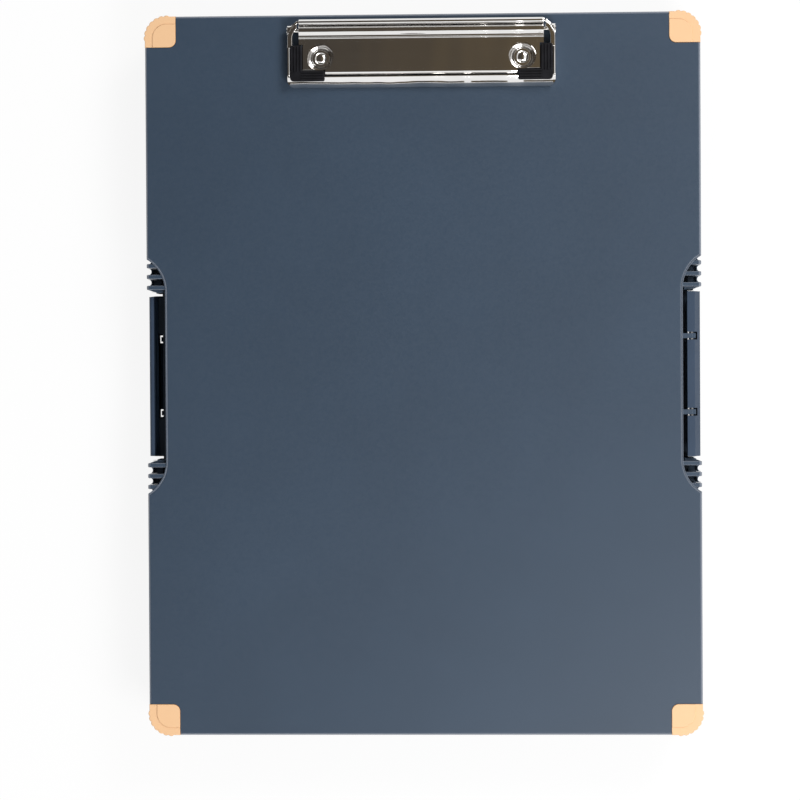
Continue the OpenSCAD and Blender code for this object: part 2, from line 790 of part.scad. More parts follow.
// A closed tube of wire_sides sides round the points of a path
module swept_wire(p, r) {
    n = len(p);
    rings = [for (i = [0:n - 1]) let (t = path_dir(p, i), u = unit(cross(t, [1, 0, 0])), v = cross(t, u))
        for (j = [0:wire_sides - 1]) let (a = 360 * j / wire_sides)
            p[i] + r * (cos(a) * u + sin(a) * v)];
    walls = [for (i = [0:n - 2], j = [0:wire_sides - 1]) let (k = (j + 1) % wire_sides,
        a = i * wire_sides + j, b = i * wire_sides + k, c = a + wire_sides, d = b + wire_sides)
        each [[a, c, b], [b, c, d]]];
    caps = [[for (j = [0:wire_sides - 1]) j],
            [for (j = [wire_sides - 1:-1:0]) (n - 1) * wire_sides + j]];
    polyhedron(points = rings, faces = concat(walls, caps), convexity = 10);
}

module spring() {
    translate([spring_x, clip_y, clip_axis_h]) swept_wire(spring_path(), wire_r);
}

echo(least_gap_between_spring_turns = coil_pitch - 2 * wire_r);

// ---- placing each sub-part in the closed case ----

module on_front() {
    translate([0, 0, front_seam_z]) children();
}

module on_back() {
    translate([0, 0, back_seam_z]) rotate([0, 180, 0]) children();
}

module on_face() {
    translate([0, 0, front_seam_z + cover_h]) children();
}

module back_cover() {
    color(slate) on_back() cover();
}

module front_cover() {
    color(slate) difference() {
        on_front() cover();
        on_face() at_rivets() translate([0, 0, -panel_t - over])
            cylinder(h = panel_t + 2 * over, r = rivet_r + run_gap);
    }
}

module middle_frame() {
    color(slate) translate([0, 0, mid_z]) difference() {
        union() {
            frame_half();
            rotate([0, 180, 0]) frame_half();
        }
        frame_half_cuts();
        rotate([0, 180, 0]) frame_half_cuts();
    }
}

// A moulded panel that snaps between the frame's ledges
module divider_panel() {
    color(slate) translate([0, 0, mid_z]) {
        linear_extrude(web_t, center = true) wall_outline(wall_t + seat_gap);
        divider_ribs();
    }
}

module front_latch() {
    color(slate) on_front() latch();
}

module back_latch() {
    color(slate) on_back() latch();
}

module front_hinge_pins() {
    color(steel) on_front() hinge_pin_pair();
}

module back_hinge_pins() {
    color(steel) on_back() hinge_pin_pair();
}

module front_latch_pins() {
    color(steel) on_front() latch_pin_pair();
}

module back_latch_pins() {
    color(steel) on_back() latch_pin_pair();
}

// A bumper at corner [sx, sy] of the cover that lies in the frame it is drawn in
module corner_bumper(sx, sy) {
    color(orange) mirror([sx < 0 ? 1 : 0, 0, 0]) mirror([0, sy < 0 ? 1 : 0, 0]) bumper();
}

module clip_plate() {
    color(chrome) on_face() plate_solid();
}

module clip_rivets() {
    color(chrome) on_face() at_rivets() rivet();
}

module rivet_washers() {
    color(steel) on_face() at_rivets() washer();
}

module clip_jaw() {
    color(chrome) on_face() jaw_metal();
}

module clip_rod() {
    color(steel) on_face() translate([0, clip_y, clip_axis_h]) rotate([0, 90, 0]) {
        cylinder(h = jaw_w + 2 * seat_gap, r = rod_r, center = true);
        both_rod_ends() cylinder(h = rod_head_t, r = rod_head_r);
    }
}

module both_rod_ends() {
    for (s = [0, 1]) mirror([0, 0, s]) translate([0, 0, jaw_x + seat_gap]) children();
}

module clip_grip_left() {
    color(black_rubber) on_face() mirror([1, 0, 0]) grip();
}

module clip_grip_right() {
    color(black_rubber) on_face() grip();
}

module clip_springs() {
    color(steel) on_face() both_sides() spring();
}

back_cover();
middle_frame();
divider_panel();
front_cover();
front_latch();
back_latch();
front_hinge_pins();
back_hinge_pins();
front_latch_pins();
back_latch_pins();
on_front() corner_bumper(-1, 1);  // front_bumper_top_left
on_front() corner_bumper(1, 1);  // front_bumper_top_right
on_front() corner_bumper(-1, -1);  // front_bumper_bottom_left
on_front() corner_bumper(1, -1);  // front_bumper_bottom_right
on_back() corner_bumper(1, 1);  // back_bumper_top_left
on_back() corner_bumper(-1, 1);  // back_bumper_top_right
on_back() corner_bumper(1, -1);  // back_bumper_bottom_left
on_back() corner_bumper(-1, -1);  // back_bumper_bottom_right
clip_plate();
clip_rivets();
rivet_washers();
clip_jaw();
clip_rod();
clip_grip_left();
clip_grip_right();
clip_springs();
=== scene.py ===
"""Storage clipboard box: the dressed model, laid out as an add-on and run as a script."""
import json
import math

import bmesh
import bpy
from bpy.props import FloatProperty, FloatVectorProperty, IntProperty, PointerProperty
from bpy.types import Operator, Panel, PropertyGroup
from mathutils import Euler, Matrix, Vector


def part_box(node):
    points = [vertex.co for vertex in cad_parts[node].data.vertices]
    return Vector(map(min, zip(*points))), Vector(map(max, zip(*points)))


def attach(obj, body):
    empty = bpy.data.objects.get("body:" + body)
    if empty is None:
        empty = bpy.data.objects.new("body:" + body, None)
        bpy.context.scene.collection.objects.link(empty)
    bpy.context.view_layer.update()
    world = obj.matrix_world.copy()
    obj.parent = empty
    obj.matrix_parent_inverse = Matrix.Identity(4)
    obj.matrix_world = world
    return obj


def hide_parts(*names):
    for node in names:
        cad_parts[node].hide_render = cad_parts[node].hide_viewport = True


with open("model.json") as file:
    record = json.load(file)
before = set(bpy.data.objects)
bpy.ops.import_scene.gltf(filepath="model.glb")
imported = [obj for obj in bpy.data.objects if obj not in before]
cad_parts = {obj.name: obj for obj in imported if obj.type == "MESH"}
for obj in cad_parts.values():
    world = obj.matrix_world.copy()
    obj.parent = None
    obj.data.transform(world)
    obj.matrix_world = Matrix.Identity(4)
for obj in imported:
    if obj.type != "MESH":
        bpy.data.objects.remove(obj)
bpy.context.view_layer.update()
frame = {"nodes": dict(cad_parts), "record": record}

bl_info = {
    "name": "Storage Clipboard Box",
    "version": (1, 0, 0),
    "blender": (4, 5, 0),
    "location": "3D View > Sidebar > Clipboard Box",
    "description": "Dresses the packed storage clipboard box with its finished pieces, materials and studio",
    "category": "Object",
}

MM = 0.001

# Sizes that the source gives its parts, in millimetres
CORNER_R = 10.0
BRIM = 2.9
BUMPER_W = 14.2
BUMPER_H = 8.6
BUMPER_T = 1.2
BUMPER_BAND = 3.5
BUMPER_PAD_H = 0.5
BUMPER_INNER_R = 3.2
RIVET_RIM_R = 4.0
RIVET_DOME_R = 2.9
NOTCH_X = 118.4         # the covers' edge along a notch
NOTCH_Y = 39.0          # centre of the arc at each end of a notch
NOTCH_R = 17.4
FIN_COUNT = 3
FIN_Y = 40.8            # the fin next to a latch
FIN_PITCH = 5.0
GRIP_W = 4.8
GRIP_SIDE_W = 5.6
GRIP_RIB_H = 0.5
JAW_SIDE_W = 3.0
ARM_R = 8.4
ARM_Y = 153.4           # centre of the arms' curve
ARM_END_Y = 149.0
SPRING_X = 22.0         # where a spring's coil begins

# Sizes that only the dressed pieces have, in millimetres. Heights are from the cover's outer face.
SEAT = 0.05             # overlap that joins one form to another
SCALLOP_OUT = 0.49      # how far the scallops stand past the cover's rounded corner
RIM_DEPTH = 1.2         # depth of the painted highlight on the rounded rim of an outer face
BEAD_IN, BEAD_OUT, BEAD_H = 0.1, 0.55, 0.12
FIN_TIP_X, FIN_FOOT_X = 127.0, 124.1
FIN_TOP, FIN_TIP_FOOT, FIN_FOOT = -0.6, -2.6, -6.8
WALL_X, WALL_TOP, WALL_FOOT = 125.1, -6.4, -12.0
WALL_BAY = 1.5          # how far the wall between two fins curves in from their tips
SHELF_X, SHELF_TOP = 121.6, -11.4
GUSSET_X, GUSSET_TOP, GUSSET_FOOT = 119.2, -3.4, -6.6
LONG_EDGE = 30.0        # shorter edges of the frame and the panel are not eased
JAW_H = 6.4
ARM_RIM_W = 2.3
ARM_RIM_T = 0.9
SPRING_WIRE_R = 0.35
SPRING_STEPS = 24       # straight runs in one turn
SPRING_END = (2.4, -1.7)    # end of the rear leg from the rod's middle in Y and Z, clear of the pressed lever


BODY_OF = {node: body for body, nodes in frame["record"]["behaviour"]["bodies"].items() for node in nodes}
SLOT_OF = {part["node"]: part["material_slot"] for part in frame["record"]["subparts"]}


# ---- shaping ----

def arc(centre, radius, start, end, steps):
    """Points along an arc, in millimetres and degrees."""
    angles = (math.radians(start + (end - start) * i / steps) for i in range(steps + 1))
    return [(centre[0] + radius * math.cos(a), centre[1] + radius * math.sin(a)) for a in angles]


def round_corners(corners, radii, steps=6):
    """An outline with each corner rounded by its own radius."""
    points = []
    for i, radius in enumerate(radii):
        corner = Vector(corners[i])
        if not radius:
            points.append(tuple(corner))
            continue
        back = (Vector(corners[i - 1]) - corner).normalized()
        on = (Vector(corners[(i + 1) % len(corners)]) - corner).normalized()
        half = back.angle(on) / 2
        centre = corner + (back + on).normalized() * radius / math.sin(half)
        first = corner + back * radius / math.tan(half) - centre
        last = corner + on * radius / math.tan(half) - centre
        turn = math.atan2(first.x * last.y - first.y * last.x, first.dot(last))
        for k in range(steps + 1):
            points.append(tuple(centre + Matrix.Rotation(turn * k / steps, 2) @ first))
    return points


def slab(bm, outline, low, high, crown=0.0, foot=0.0, steps=4):
    """Adds a plate over an outline. Crown and foot round its upper and lower rims."""
    ring = [bm.verts.new((x * MM, y * MM, (low + foot) * MM)) for x, y in outline]
    base = bm.faces.new(ring)
    made = bmesh.ops.extrude_face_region(bm, geom=[base])["geom"]
    raised = [part for part in made if isinstance(part, bmesh.types.BMVert)]
    bmesh.ops.translate(bm, verts=raised, vec=(0.0, 0.0, (high - crown - low - foot) * MM))
    cap = set(raised)
    top = next(face for face in raised[0].link_faces if cap.issuperset(face.verts))
    shell = {face for vert in ring + raised for face in vert.link_faces}
    bmesh.ops.recalc_face_normals(bm, faces=list(shell))
    for face, radius in ((top, crown), (base, foot)):
        for i in range(steps if radius else 0):
            near, far = (math.pi / 2 * k / steps for k in (i, i + 1))
            bmesh.ops.inset_region(
                bm, faces=[face], use_even_offset=True, use_boundary=True,
                thickness=radius * MM * (math.cos(near) - math.cos(far)),
                depth=radius * MM * (math.sin(far) - math.sin(near)))


def lathe(bm, profile, centre, steps=64):
    """Adds a solid of revolution: a profile of radius and height points, spun round a vertical axis."""
    verts = [bm.verts.new((centre[0] + r * MM, centre[1], centre[2] + z * MM)) for r, z in profile]
    edges = [bm.edges.new(pair) for pair in zip(verts, verts[1:])]
    bmesh.ops.spin(bm, geom=verts + edges, cent=centre, axis=(0.0, 0.0, 1.0), dvec=(0.0, 0.0, 0.0),
                   angle=2 * math.pi, steps=steps, use_merge=True)
    bmesh.ops.remove_doubles(bm, verts=bm.verts, dist=1e-6)
    bmesh.ops.recalc_face_normals(bm, faces=bm.faces)


def merged(node):
    """A CAD node's shape as one joined mesh, with its flat faces whole."""
    bm = bmesh.new()
    bm.from_mesh(frame["nodes"][node].data)
    bmesh.ops.remove_doubles(bm, verts=bm.verts, dist=1e-6)
    bmesh.ops.dissolve_limit(bm, angle_limit=math.radians(0.5), verts=bm.verts, edges=bm.edges)
    return bm


def ease(bm, width, pick, segments=2, angle=40.0, clamp=False):
    """Bevels the edges that turn by more than angle and that pick takes."""
    edges = [edge for edge in bm.edges
             if edge.is_manifold and edge.calc_face_angle() > math.radians(angle) and pick(edge)]
    bmesh.ops.bevel(bm, geom=edges, offset=width * MM, offset_type="OFFSET", segments=segments,
                    profile=0.5, affect="EDGES", clamp_overlap=clamp, material=-1)


def along(edge, axis):
    """How far an edge runs along an axis, in millimetres, if it runs along nothing else."""
    run = edge.verts[1].co - edge.verts[0].co
    return abs(run[axis]) / MM if abs(run[axis]) > 0.99 * run.length else 0.0


def add(bm, other):
    """Adds another bmesh to one, and frees it."""
    mesh = bpy.data.meshes.new("added")
    other.to_mesh(mesh)
    other.free()
    bm.from_mesh(mesh)
    bpy.data.meshes.remove(mesh)


def place(bm, spot, signs):
    """Mirrors a shape by its signs along the axes and moves it to a spot."""
    bmesh.ops.transform(bm, matrix=Matrix.Translation(spot) @ Matrix.Diagonal((*signs, 1.0)), verts=bm.verts)
    if signs[0] * signs[1] * signs[2] < 0:
        bmesh.ops.reverse_faces(bm, faces=bm.faces)


def piece(bm, node, sharp=32.0):
    """Makes a bmesh the piece that stands for a CAD node, on its body and with its finish."""
    for face in bm.faces:
        face.smooth = True
    for edge in bm.edges:
        edge.smooth = edge.is_manifold and edge.calc_face_angle() < math.radians(sharp)
    name = "dressed_" + node
    mesh = bpy.data.meshes.new(name)
    bm.to_mesh(mesh)
    bm.free()
    mesh.materials.append(FINISHES[SLOT_OF[node]])
    made = bpy.data.objects.new(name, mesh)
    bpy.context.scene.collection.objects.link(made)
    even = made.modifiers.new("even_shading", "WEIGHTED_NORMAL")
    even.keep_sharp = True
    even.weight = 80
    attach(made, BODY_OF[node])
    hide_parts(node)


# ---- materials ----

class Nodes:
    """The node tree of a material or a world, with short ways to add and link its nodes."""

    def __init__(self, owner, output="ShaderNodeOutputMaterial"):
        owner.use_nodes = True
        self.owner = owner
        self.tree = owner.node_tree
        self.tree.nodes.clear()
        self.output = self.add(output)
        self.coords = self.add("ShaderNodeTexCoord")

    def add(self, kind, **settings):
        node = self.tree.nodes.new(kind)
        for key, value in settings.items():
            setattr(node, key, value)
        return node

    def link(self, source, target):
        self.tree.links.new(source, target)

    def axes(self, coordinates):
        """The X, Y and Z of the Object or the Normal coordinates."""
        node = self.add("ShaderNodeSeparateXYZ")
        self.link(self.coords.outputs[coordinates], node.inputs["Vector"])
        return node.outputs

    def math(self, operation, *values):
        """A sum of one or two values, each an output or a number."""
        node = self.add("ShaderNodeMath", operation=operation)
        for value, socket in zip(values, node.inputs):
            if isinstance(value, bpy.types.NodeSocket):
                self.link(value, socket)
            else:
                socket.default_value = value
        return node.outputs["Value"]

    def noise(self, scale, detail=2.0, roughness=0.5, stretch=None):
        """Noise on Object coordinates. Stretch scales the axes, for brushed or streaked grain."""
        node = self.add("ShaderNodeTexNoise")
        node.inputs["Scale"].default_value = scale
        node.inputs["Detail"].default_value = detail
        node.inputs["Roughness"].default_value = roughness
        source = self.coords.outputs["Object"]
        if stretch:
            mapping = self.add("ShaderNodeMapping")
            mapping.inputs["Scale"].default_value = stretch
            self.link(source, mapping.inputs["Vector"])
            source = mapping.outputs["Vector"]
        self.link(source, node.inputs["Vector"])
        return node.outputs["Fac"]

    def spread(self, value, low, high, start=0.3, end=0.7):
        """Maps a factor between start and end onto low to high."""
        node = self.add("ShaderNodeMapRange")
        for key, number in (("From Min", start), ("From Max", end), ("To Min", low), ("To Max", high)):
            node.inputs[key].default_value = number
        self.link(value, node.inputs["Value"])
        return node.outputs["Result"]

    def mix(self, factor, first, second):
        """A colour between two colours by a factor."""
        node = self.add("ShaderNodeMix", data_type="RGBA")
        self.link(factor, node.inputs["Factor"])
        for socket, value in ((node.inputs[6], first), (node.inputs[7], second)):
            if isinstance(value, bpy.types.NodeSocket):
                self.link(value, socket)
            else:
                socket.default_value = (*value[:3], 1.0)
        return node.outputs[2]

    def bump(self, height, strength, distance):
        node = self.add("ShaderNodeBump")
        node.inputs["Strength"].default_value = strength
        node.inputs["Distance"].default_value = distance
        self.link(height, node.inputs["Height"])
        return node.outputs["Normal"]

    def surface(self, color, roughness, normal, **constants):
        """Ends the tree in one Principled shader. Constants are set on its own sockets."""
        shader = self.add("ShaderNodeBsdfPrincipled")
        for key, value in constants.items():
            shader.inputs[key.replace("_", " ")].default_value = value
        self.link(color, shader.inputs["Base Color"])
        self.link(roughness, shader.inputs["Roughness"])
        self.link(normal, shader.inputs["Normal"])
        self.link(shader.outputs["BSDF"], self.output.inputs["Surface"])
        return self.owner

    def light(self, kind, strength=1.0):
        """A white emission or background shader."""
        node = self.add(kind)
        node.inputs["Color"].default_value = (1.0, 1.0, 1.0, 1.0)
        node.inputs["Strength"].default_value = strength
        return node.outputs[0]

    def blend(self, factor, first, second):
        """Ends the tree in a mix of two shaders."""
        mixer = self.add("ShaderNodeMixShader")
        for value, socket in zip((factor, first, second), mixer.inputs):
            self.link(value, socket)
        self.link(mixer.outputs["Shader"], self.output.inputs["Surface"])


def material(name):
    """The empty tree of a new material."""
    return Nodes(bpy.data.materials.new(name))


def shade(color, factor):
    return [min(1.0, channel * factor) for channel in color[:3]]


def rim_highlight_mask(n):
    """A factor that is one where the plastic of an outer face rounds off to a side, where a painted highlight
    goes.
    """
    low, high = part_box("back_cover")[0].z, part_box("front_cover")[1].z
    off = n.math("ABSOLUTE", n.math("SUBTRACT", n.axes("Object")["Z"], (low + high) / 2))
    start = (high - low) / 2 - RIM_DEPTH * MM
    outside = n.spread(off, 0.0, 1.0, start, start + 0.1 * MM)
    up = n.math("ABSOLUTE", n.axes("Normal")["Z"])
    bent = n.math("MULTIPLY", n.spread(up, 0.0, 1.0, 0.3, 0.5), n.spread(up, 1.0, 0.0, 0.86, 0.97))
    return n.math("MULTIPLY", outside, bent)


RIM_HIGHLIGHT = (0.18, 0.2, 0.24)    # painted highlight on the covers' rounded rims


def case_plastic(color):
    n = material("case_plastic")
    cloud = n.spread(n.noise(18.0, 3.0), 0.0, 1.0)
    tone = n.mix(cloud, shade(color, 0.95), shade(color, 1.05))
    # the rounded rims are painted lighter: a painted highlight
    tone = n.mix(rim_highlight_mask(n), tone, RIM_HIGHLIGHT)
    grain = n.noise(3200.0, 2.0, 0.6)
    rough = n.spread(n.noise(900.0, 2.0), 0.4, 0.5)
    return n.surface(tone, rough, n.bump(grain, 0.3, 0.04 * MM), IOR=1.46, Specular_IOR_Level=0.45)


def latch_plastic(color):
    n = material("latch_plastic")
    tone = n.mix(n.spread(n.noise(60.0, 3.0), 0.0, 1.0), shade(color, 0.93), shade(color, 1.07))
    rough = n.spread(n.noise(700.0, 2.0), 0.44, 0.54)
    return n.surface(tone, rough, n.bump(n.noise(2600.0), 0.2, 0.04 * MM), IOR=1.46, Specular_IOR_Level=0.25)


def bumper_rubber(color, deep_side_with_shade):
    n = material("bumper_rubber")
    # tops take the paler colour as a painted highlight, sides the deeper orange of translucent rubber and
    # painted shade
    faces = n.spread(n.math("ABSOLUTE", n.axes("Normal")["Z"]), 0.0, 1.0, 0.05, 0.85)
    tone = n.mix(faces, deep_side_with_shade, color)
    tone = n.mix(n.spread(n.noise(240.0, 3.0), 0.0, 0.12), tone, shade(color, 0.9))
    rough = n.spread(n.noise(1200.0, 2.0), 0.42, 0.55)
    grain = n.bump(n.noise(2400.0, 2.0), 0.25, 0.05 * MM)
    return n.surface(tone, rough, grain, IOR=1.48, Specular_IOR_Level=0.25)


def grip_rubber(color):
    n = material("grip_rubber")
    tone = n.mix(n.spread(n.noise(300.0, 3.0), 0.0, 1.0), shade(color, 0.7), shade(color, 1.3))
    rough = n.spread(n.noise(1500.0, 2.0), 0.38, 0.52)
    grain = n.bump(n.noise(2800.0, 2.0), 0.3, 0.05 * MM)
    return n.surface(tone, rough, grain, IOR=1.5, Specular_IOR_Level=0.12)


def clip_chrome(color):
    n = material("clip_chrome")
    tone = n.mix(n.spread(n.noise(40.0, 2.0), 0.0, 1.0), shade(color, 0.96), shade(color, 1.02))
    streaks = n.noise(260.0, 4.0, 0.6, stretch=(0.08, 1.0, 1.0))
    rough = n.spread(streaks, 0.05, 0.11)
    waves = n.add("ShaderNodeBump")     # the pressed lip is a little wavy, the rest nearly flat
    waves.inputs["Distance"].default_value = 6.0 * MM
    n.link(n.spread(n.axes("Normal")["Y"], 0.5, 0.04, -0.6, -0.2), waves.inputs["Strength"])
    n.link(n.noise(60.0, 1.0, stretch=(1.0, 0.35, 0.35)), waves.inputs["Height"])
    return n.surface(tone, rough, waves.outputs["Normal"], Metallic=1.0)


def steel_wire(color):
    n = material("steel_wire")
    tone = n.mix(n.spread(n.noise(500.0, 2.0), 0.0, 1.0), shade(color, 0.85), shade(color, 1.1))
    rough = n.spread(n.noise(900.0, 2.0), 0.22, 0.34)
    return n.surface(tone, rough, n.bump(n.noise(1600.0, 2.0), 0.15, 0.03 * MM), Metallic=1.0)


FINISHES = {}


def make_finishes(settings):
    """Every finish of the object, by the name of its material slot."""
    FINISHES.update(
        case_plastic=case_plastic(settings.case.plastic_color),
        latch_plastic=latch_plastic(settings.case.latch_color),
        bumper_rubber=bumper_rubber(settings.bumpers.face_color_with_highlight, settings.bumpers.side_color_with_shade),
        grip_rubber=grip_rubber(settings.clip.grip_color),
        clip_chrome=clip_chrome(settings.clip.chrome_color),
        steel_wire=steel_wire(settings.clip.steel_color),
    )


# ---- settings ----

class CaseSettings(PropertyGroup):
    plastic_color: FloatVectorProperty(
        name="Plastic", description="Colour of the covers and the frame", subtype="COLOR",
        size=3, default=(0.026, 0.0455, 0.0745), min=0.0, max=1.0)
    edge_ease: FloatProperty(
        name="Eased edges", description="Radius of the frame's and latches' eased edges, in millimetres",
        default=0.25, min=0.05, max=0.4)
    fin_thickness: FloatProperty(
        name="Fin thickness", description="Thickness of the fins in the notches, in millimetres",
        default=2.0, min=1.5, max=2.4)
    latch_color: FloatVectorProperty(
        name="Latches", description="Colour of the two latches", subtype="COLOR",
        size=3, default=(0.03, 0.049, 0.082), min=0.0, max=1.0)


class BumperSettings(PropertyGroup):
    scallops: IntProperty(
        name="Scallops", description="Number of scallops round a bumper's corner", default=7, min=3, max=9)
    scallop_radius: FloatProperty(
        name="Scallop radius", description="Radius of each scallop, in millimetres",
        default=1.7, min=1.4, max=2.2)
    rim: FloatProperty(
        name="Rim", description="Radius of the bumpers' rounded rims, in millimetres",
        default=0.4, min=0.1, max=0.6)
    # the bumpers' paler face colour, with a painted highlight in it
    face_color_with_highlight: FloatVectorProperty(
        name="Faces", description="Colour of the bumpers' flat faces", subtype="COLOR",
        size=3, default=(0.74, 0.47, 0.265), min=0.0, max=1.0)
    # the deeper orange of the sides: translucent rubber and painted shade
    side_color_with_shade: FloatVectorProperty(
        name="Sides", description="Deeper colour of the bumpers' sides", subtype="COLOR",
        size=3, default=(0.75, 0.32, 0.095), min=0.0, max=1.0)


class ClipSettings(PropertyGroup):
    edge_ease: FloatProperty(
        name="Eased edges", description="Radius of the pressed sheet's edges, in millimetres",
        default=0.22, min=0.05, max=0.35)
    grip_ribs: IntProperty(
        name="Grip ribs", description="Number of ribs along each arm of a grip", default=4, min=2, max=6)
    spring_turns: IntProperty(
        name="Spring turns", description="Number of turns of each spring", default=5, min=1, max=6)
    chrome_color: FloatVectorProperty(
        name="Chrome", description="Colour of the plated sheet", subtype="COLOR",
        size=3, default=(0.82, 0.81, 0.8), min=0.0, max=1.0)
    grip_color: FloatVectorProperty(
        name="Grips", description="Colour of the grips' rubber", subtype="COLOR",
        size=3, default=(0.008, 0.008, 0.01), min=0.0, max=1.0)
    steel_color: FloatVectorProperty(
        name="Steel", description="Colour of pins, washers and springs", subtype="COLOR",
        size=3, default=(0.5, 0.51, 0.53), min=0.0, max=1.0)


class StageSettings(PropertyGroup):
    camera_height: FloatProperty(
        name="Camera height", description="Height of the camera above the front cover",
        unit="LENGTH", default=1.2, min=0.4, max=3.0)
    floor_color: FloatVectorProperty(
        name="Floor", description="Colour of the floor", subtype="COLOR",
        size=3, default=(0.82, 0.82, 0.82), min=0.0, max=1.0)
    key_power: FloatProperty(
        name="Key light", description="Power of the large lamp beyond the upper right corner",
        unit="POWER", default=9.5, min=0.0)
    fill_power: FloatProperty(
        name="Fill light", description="Power of the large lamp by the lower right corner",
        unit="POWER", default=11.0, min=0.0)


class ClipboardBoxSettings(PropertyGroup):
    case: PointerProperty(type=CaseSettings)
    bumpers: PointerProperty(type=BumperSettings)
    clip: PointerProperty(type=ClipSettings)
    stage: PointerProperty(type=StageSettings)


# ---- the stage ----

# The camera, as fitted to the photograph's outline of the case
CAMERA_SIDE = (0.0359, 0.0063)      # from the case's middle, in metres
CAMERA_TURN = (-0.0149, 0.0388, -0.0056)
PICTURE_PX = 800
FOCAL_PX = 2619.7
RIM_DROP = 1.3          # from the front cover's face down to the outline that was fitted, in millimetres

KEY_PLACE = (0.62, 0.78, 1.0)
FILL_PLACE = (0.44, -0.58, 1.0)
LAMP_AIM = Vector((0.0, 0.0, 0.03))
LAMP_SIZE = 0.5
ROOM_LIGHT = 0.42
FLOOR_HALF = 6.0
FLOOR_SHADE = 0.11      # share of the lamps' own shade that the floor shows
# Rectangles in which the floor is dark, in millimetres: one under the case and one at each pair of left fins
CASE_SHADE_X, CASE_SHADE_INSET = 2.2, (0.8, 3.2)
FIN_SHADE_X, FIN_SHADE_Y, FIN_SHADE_HALF = -126.0, 46.0, (3.4, 6.0)
SHADE_SOFT = 0.6
NO_TURN, QUARTER_TURN = 0.0, math.pi / 2
# Dark cards that only the gloss shows: middle, turn, axis of the turn and half sizes
CARDS = (
    ((-0.55, 0.5, 1.3), NO_TURN, "X", (0.9, 0.9)),
    ((-1.1, 0.1, 0.75), QUARTER_TURN, "Y", (0.5, 0.5)),
    ((1.1, 0.1, 0.75), QUARTER_TURN, "Y", (0.5, 0.5)),
    ((-0.45, -1.2, 0.28), QUARTER_TURN, "X", (0.6, 0.18)),
)
CARD_COLD, CARD_WARM = (0.062, 0.054, 0.046), (0.115, 0.088, 0.055)


def seen(n, shaded):
    """A factor that is one for camera, glossy and transmission rays, less the share that stays shaded."""
    path = n.add("ShaderNodeLightPath").outputs
    straight = n.math("MAXIMUM", path["Is Camera Ray"], path["Is Glossy Ray"])
    return n.math("MULTIPLY", n.math("MAXIMUM", straight, path["Is Transmission Ray"]), 1.0 - shaded)


